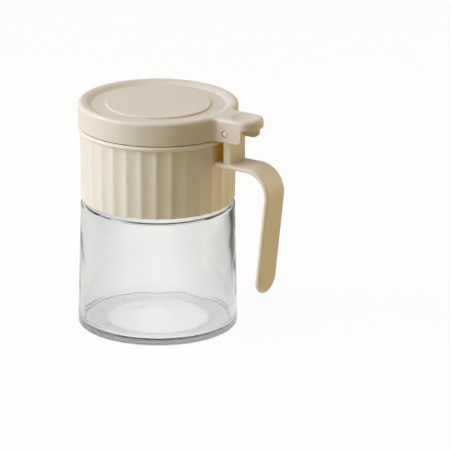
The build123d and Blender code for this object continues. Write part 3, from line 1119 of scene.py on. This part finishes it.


# %% [markdown]
# ## Cream plastic
#
# The lid and the collar are moulded in cream polypropylene. It is satin, not glossy: the mould
# leaves a fine grain, and the surface sinks a little over thick places. It also lets light in,
# and light that bounces many times between the walls of narrow gaps turns warm. Three things
# give this look: a noise for the grain and a slower one for the sinks feed the bump, subsurface
# scattering softens the shading, and Ambient Occlusion finds the gaps and paints warm shade
# into their colour. A second one with a very short reach finds hairline cracks and paints them
# with dark shade.


# %% Helpers for finishes
def new_finish(name):
    """A new material with its Paint and its Principled shader."""
    material = bpy.data.materials.new(name)
    material.use_nodes = True
    return material, Paint(material.node_tree), material.node_tree.nodes["Principled BSDF"]


def set_inputs(node, **values):
    """Fill or link a node's inputs by name, with _ for each space."""
    for key, value in values.items():
        feed(node.inputs[key.replace("_", " ")], value)


def set_output(material, **values):
    """Link the inputs of a material's output by name."""
    set_inputs(material.node_tree.nodes["Material Output"], **values)


def shade(colour, factor=1):
    """RGB colour as RGBA, made lighter or darker by a factor."""
    return (*(c * factor for c in colour), 1)


def own_place(paint):
    """Place on the piece, in metres."""
    return paint.node("ShaderNodeTexCoord", {}, out="Object")


def grain(paint, size, detail=2.0):
    """Noise from 0 to 1 with lumps of about this size in millimetres."""
    scale = 1 / (size * MM)
    return paint.node("ShaderNodeTexNoise", {}, Vector=own_place(paint), Scale=scale, Detail=detail)


def ramp(paint, value, start, end):
    """0 below start, 1 above end, and smooth between."""
    smooth = {"interpolation_type": "SMOOTHSTEP"}
    return paint.node("ShaderNodeMapRange", smooth, Value=value, From_Min=start, From_Max=end)


def between(share, low, high):
    """Low where share is 0 and high where it is 1."""
    return share * (high - low) + low


def towards(paint, place, direction):
    """How far a place or direction reaches along another direction."""
    return paint.node(
        "ShaderNodeVectorMath", {"operation": "DOT_PRODUCT"}, place, tuple(direction), out="Value"
    )


def gaps(paint, reach, start=0.0, end=1.0):
    """1 deep inside narrow gaps and 0 in the open. Reach is in millimetres."""
    open_air = paint.node(
        "ShaderNodeAmbientOcclusion", {"samples": 8}, Distance=reach * MM, out="AO"
    )
    return ramp(paint, 1 - open_air, start, end)


def mix(paint, share, first, second):
    """First colour where share is 0 and second colour where it is 1."""
    mixed = paint.node("ShaderNodeMix", {"data_type": "RGBA"}, out=2)
    for number, value in ((0, share), (6, first), (7, second)):  # inputs for colours
        feed(mixed.socket.node.inputs[number], value)
    return mixed


def bump(paint, height, depth, **under):
    """Normal for a height from 0 to 1 that stands this many millimetres high."""
    under.update(Strength=1.0, Distance=depth * MM, Height=height)
    return paint.node("ShaderNodeBump", {}, **under)


# %% Cream plastic
GRAIN_SIZE = 0.45
GRAIN_DEPTH = 0.006
SINK_SIZE = 11.0
SINK_DEPTH = 0.05
FLOW_SIZE = 18.0  # faint clouds of lighter and darker cream
FLOW_LIGHT = 1.02
FLOW_DARK = 0.97
CREAM_ROUGHNESS = (0.38, 0.5)
PLASTIC_IOR = 1.49
GAP_REACH = 14.0
# Painted warm shade: where it starts and where it is full, by how shut in a place is.
GAP_START = 0.56  # how shut in a place is where it starts to turn amber
GAP_END = 0.82  # and where it is fully amber
# Painted dark shade in hairline gaps:
CRACK_REACH = 0.8  # the same for hairline gaps, which are plainly dark
CRACK_START = 0.6
CRACK_END = 0.88
CRACK_SHADE_BROWN = (0.26, 0.17, 0.08)


def cream_plastic(name, colour, gap_shade, glow):
    """Satin polypropylene. Gap shade is the colour of painted shade deep inside gaps, glow the
    light's reach in mm.
    """
    material, paint, shader = new_finish(name)
    flow = grain(paint, FLOW_SIZE, detail=3.0)
    skin = mix(paint, flow, shade(colour, FLOW_LIGHT), shade(colour, FLOW_DARK))
    # Painted warm shade: the colour turns amber deep inside gaps.
    with_gap_shade = mix(paint, gaps(paint, GAP_REACH, GAP_START, GAP_END), skin, shade(gap_shade))
    # Painted dark shade in hairline cracks, found by a short Ambient Occlusion.
    crack_shade = gaps(paint, CRACK_REACH, CRACK_START, CRACK_END)
    fine = grain(paint, GRAIN_SIZE)
    sinks = bump(paint, grain(paint, SINK_SIZE, detail=1.0), SINK_DEPTH)
    set_inputs(
        shader,
        Base_Color=mix(paint, crack_shade, with_gap_shade, shade(CRACK_SHADE_BROWN)),
        Roughness=between(fine, *CREAM_ROUGHNESS),
        Normal=bump(paint, fine, GRAIN_DEPTH, Normal=sinks),
        Subsurface_Weight=0.3,
        Subsurface_Radius=(1.0, 0.7, 0.4),
        Subsurface_Scale=glow * MM,
        IOR=PLASTIC_IOR,
    )
    print(name, "of colour", colour)
    return material


LID_CREAM = (0.77, 0.682, 0.58)
# The collar's cream is lighter and yellower than the lid's. This is partly its own colour and
# partly painted light, which stands in for light shining through its thin wall.
COLLAR_CREAM_AND_GLOW = (0.845, 0.764, 0.655)
# Colours of painted shade deep inside gaps.
GAP_SHADE_AMBER = (0.85, 0.56, 0.03)
RING_GAP_SHADE = (0.85, 0.7, 0.42)
lid_plastic = cream_plastic("cream_plastic_lid", LID_CREAM, GAP_SHADE_AMBER, glow=2.0)
collar_plastic = cream_plastic("cream_plastic_collar", COLLAR_CREAM_AND_GLOW, GAP_SHADE_AMBER, glow=4.0)
ring_plastic = cream_plastic("cream_plastic_ring", COLLAR_CREAM_AND_GLOW, RING_GAP_SHADE, glow=4.0)
for piece, plastic in ((lid, lid_plastic), (collar, collar_plastic), (ring, ring_plastic)):
    piece.data.materials.append(plastic)

# %% [markdown]
# ## Pressed glass
#
# Glass is mostly what stands behind it, so the shader is plain: smooth, colourless, with the
# refraction of soda-lime glass. What makes it real is small: a slight waviness in the normal,
# a thin haze from fingers and washing, and a faint green where light travels far inside the
# thick floor. That green is a volume, so it follows the thickness by itself. The ring that the
# jar stands on is stippled, as moulds leave it. It is rough, so it lets out the light that
# mirror-smooth faces would keep inside the floor.

# %% Pressed glass
WAVINESS_SIZE = 16.0
WAVINESS_DEPTH = 0.05
GLASS_GREEN = (0.80, 0.92, 0.82, 1)
GREEN_PER_METRE = 6.0
HAZE_SIZE = 9.0
HAZE_ROUGHNESS = 0.02
STIPPLE_SIZE = 1.2
STIPPLE_ROUGHNESS = 1.6
STIPPLE_INSIDE = (24.0, 34.0)  # the stipple fades in and out between these radii
STIPPLE_OUTSIDE = (40.6, 41.8)
STIPPLE_ABOVE = (1.3, 2.0)  # and out between these heights
CLEAR = (0.985, 0.988, 0.985, 1)
HAZY = (0.96, 0.963, 0.96, 1)
STIPPLED = (0.985, 0.99, 0.97, 1)
clear_glass, paint, shader = new_finish("clear_glass")
haze = grain(paint, HAZE_SIZE, detail=4.0)
place = own_place(paint)
level = paint.node("ShaderNodeVectorMath", {"operation": "MULTIPLY"}, place, (1, 1, 0))
from_axis = paint.node("ShaderNodeVectorMath", {"operation": "LENGTH"}, level, out="Value")
underneath = 1 - ramp(paint, towards(paint, place, Z_AXIS), *mm(*STIPPLE_ABOVE))
inner_fade = ramp(paint, from_axis, *mm(*STIPPLE_INSIDE))
outer_fade = 1 - ramp(paint, from_axis, *mm(*STIPPLE_OUTSIDE))
stipple = inner_fade * underneath * outer_fade * grain(paint, STIPPLE_SIZE, detail=3.0)
set_inputs(
    shader,
    Base_Color=mix(paint, stipple, mix(paint, haze, CLEAR, HAZY), STIPPLED),
    Roughness=haze * HAZE_ROUGHNESS + stipple * STIPPLE_ROUGHNESS,
    Normal=bump(paint, grain(paint, WAVINESS_SIZE, detail=1.0), WAVINESS_DEPTH),
    IOR=1.5,
    Transmission_Weight=1.0,
)
green = paint.node(
    "ShaderNodeVolumeAbsorption", {}, Color=GLASS_GREEN, Density=GREEN_PER_METRE
)
set_output(clear_glass, Volume=green)
jar.data.materials.append(clear_glass)

# %% [markdown]
# ## Silicone and the pin
#
# The gasket and the seal are milky silicone: matt, a little dusty and soft to light. The pin is
# a harder plastic with a polished end, so it is smoother than the lid and shows a brighter
# highlight. Where it sits in its ring-shaped recess, the same Ambient Occlusion paints warm, dark
# shade.

# %% Silicone
SILICONE = (0.82, 0.82, 0.78)
SILICONE_ROUGHNESS = (0.5, 0.65)
SILICONE_GLOW = 1.5
DUST_SIZE = 0.8
DUST_DEPTH = 0.01
DUST_DARK = 0.93
silicone, paint, shader = new_finish("soft_silicone")
dust = grain(paint, DUST_SIZE, detail=3.0)
set_inputs(
    shader,
    Base_Color=mix(paint, dust, shade(SILICONE), shade(SILICONE, DUST_DARK)),
    Roughness=between(dust, *SILICONE_ROUGHNESS),
    Normal=bump(paint, dust, DUST_DEPTH),
    Subsurface_Weight=0.5,
    Subsurface_Radius=(1.0, 0.9, 0.8),
    Subsurface_Scale=SILICONE_GLOW * MM,
    IOR=1.41,
)
gasket = nodes["neck_gasket"]
for piece in (seal, gasket):
    piece.data.materials.clear()
    piece.data.materials.append(silicone)
pick(gasket)
bpy.ops.object.shade_smooth_by_angle(angle=math.radians(30))

# %% Pin plastic
PIN_CREAM = (0.86, 0.79, 0.65)
PIN_ROUGHNESS = (0.2, 0.35)
PIN_RECESS_REACH = 1.5
PIN_RECESS_SHARE = 0.6
SCUFF_SIZE = 0.5
SCUFF_DEPTH = 0.004
pin_plastic, paint, shader = new_finish("pin_plastic")
scuffs = grain(paint, SCUFF_SIZE, detail=4.0)
# Painted warm shade where the pin sits in its ring-shaped recess.
recess_shade = gaps(paint, PIN_RECESS_REACH) * PIN_RECESS_SHARE
set_inputs(
    shader,
    Base_Color=mix(paint, recess_shade, shade(PIN_CREAM), shade(GAP_SHADE_AMBER)),
    Roughness=between(scuffs, *PIN_ROUGHNESS),
    Normal=bump(paint, scuffs, SCUFF_DEPTH),
    IOR=PLASTIC_IOR,
)
pin.data.materials.append(pin_plastic)

# %% [markdown]
# ## A white room
#
# The jar stands in a white sweep. What the camera sees directly is plain white, and the floor
# still darkens a little where the jar shades it. The edges of glass would vanish in white
# alone, so a photographer puts grey cards beside it, which draw them dark. Here mirror and
# glass rays see a room that is a little grey at both sides and has a dark card at the right.
# The floor is warm under its white glow, and so is the light that it throws back on the jar.
# The light comes from soft boxes: a strong cool one at the left, one above and a warm one at
# the right. Rays through glass don't see them, or their squares would show in the jar.

# %% Floor and world
WHITE = (1, 1, 1, 1)
FLOOR_SIZE = 6.0
FLOOR_DROP = 0.1  # keeps the floor clear of the glass foot
FLOOR_GLOW = 0.96  # the share of the floor that is plain white to the camera
FLOOR_CREAM = (0.9, 0.76, 0.42, 1)
ROOM_LIGHT = 0.01  # what the white room adds to the light on the jar
SEEN_IN_GLASS = 0.92  # how bright the room is in the glass, against 1 for the camera
LEFT_GREY = 0.16  # how much darker it is to the left of the jar's axis
RIGHT_GREY = 0.1  # and to the right
SIDE_REACH = (0.01, 0.045)
CARD = (0.06, 0.13)  # where the grey card at the right fades in, in metres
CARD_END = (0.2, 0.3)  # and out
SKY_CARD = (0.1, 0.7)  # the same card above the floor, by how far a ray points to the right
CARD_GREY = 0.12


def rays(paint, *kinds):
    """1 for rays of these kinds, and 0 for all others."""
    path = paint.tree.nodes.new("ShaderNodeLightPath")
    total = Socket(paint.tree, path.outputs[f"Is {kinds[0]} Ray"])
    for kind in kinds[1:]:
        total = total.math("MAXIMUM", Socket(paint.tree, path.outputs[f"Is {kind} Ray"]))
    return total


def room_brightness(paint, along, card):
    """1 for the camera. For mirror and glass rays less at the sides and least on the card."""
    sides = ramp(paint, 0 - along, *SIDE_REACH) * LEFT_GREY
    sides = sides + ramp(paint, along, *SIDE_REACH) * RIGHT_GREY
    in_glass = (SEEN_IN_GLASS - sides) * (1 - card * (1 - CARD_GREY))
    return rays(paint, "Camera").math("MAXIMUM", in_glass)


world = bpy.data.worlds.new("white_room")
world.use_nodes = True
bpy.context.scene.world = world
paint = Paint(world.node_tree)
direction = paint.node("ShaderNodeTexCoord", {}, out="Generated")
to_right = towards(paint, direction, right)
sky_card = ramp(paint, to_right, *SKY_CARD) * rays(paint, "Glossy")
bright = room_brightness(paint, to_right, sky_card)
seen = rays(paint, "Camera", "Glossy", "Transmission")
strength = seen * (bright - ROOM_LIGHT) + ROOM_LIGHT
set_inputs(world.node_tree.nodes["Background"], Color=WHITE, Strength=strength)

bpy.ops.object.select_all(action="DESELECT")
bpy.ops.mesh.primitive_plane_add(size=FLOOR_SIZE, location=mm(0, 0, -FLOOR_DROP))
floor = bpy.context.object
floor.name = "floor"
floor_paint, paint, matt = new_finish("white_sweep")
set_inputs(matt, Base_Color=FLOOR_CREAM, Roughness=0.9)
to_right = towards(paint, own_place(paint), right)
card = ramp(paint, to_right, *CARD) * (1 - ramp(paint, to_right, *CARD_END))
bright = room_brightness(paint, to_right, card)
glow = paint.node("ShaderNodeEmission", {}, WHITE, bright)
surface = paint.node(
    "ShaderNodeMixShader",
    {},
    rays(paint, "Camera", "Glossy", "Transmission") * FLOOR_GLOW,
    Socket(paint.tree, matt.outputs[0]),
    glow,
)
set_output(floor_paint, Surface=surface)
floor.data.materials.append(floor_paint)


# %% Lamps
LAMP_DISTANCE = 1.0
LAMP_SIZE = 0.8


def soft_box(name, azimuth, elevation, power, colour):
    """Square area lamp that looks at the middle of the jar. Azimuth is counted from the camera."""
    direction = away(VIEW_AZIMUTH + math.radians(azimuth), math.radians(elevation))
    lamp = bpy.data.lights.new(name, "AREA")
    lamp.size = LAMP_SIZE
    lamp.energy = power
    lamp.color = colour
    lamp_object = bpy.data.objects.new(name, lamp)
    lamp_object.location = middle + direction * LAMP_DISTANCE
    lamp_object.rotation_mode = "QUATERNION"
    lamp_object.rotation_quaternion = (-direction).to_track_quat("-Z", "Y")
    lamp_object.visible_transmission = False
    bpy.context.scene.collection.objects.link(lamp_object)
    print(name, "at", rounded(lamp_object.location, 2))


soft_box("left_box", -78, 28, power=9.6, colour=(0.9, 0.98, 1.18))
soft_box("top_box", -20, 80, power=4.2, colour=(1.0, 0.94, 0.78))
soft_box("right_box", 110, 15, power=4.4, colour=(1.0, 0.82, 0.48))

bpy.context.scene.view_settings.view_transform = "Standard"
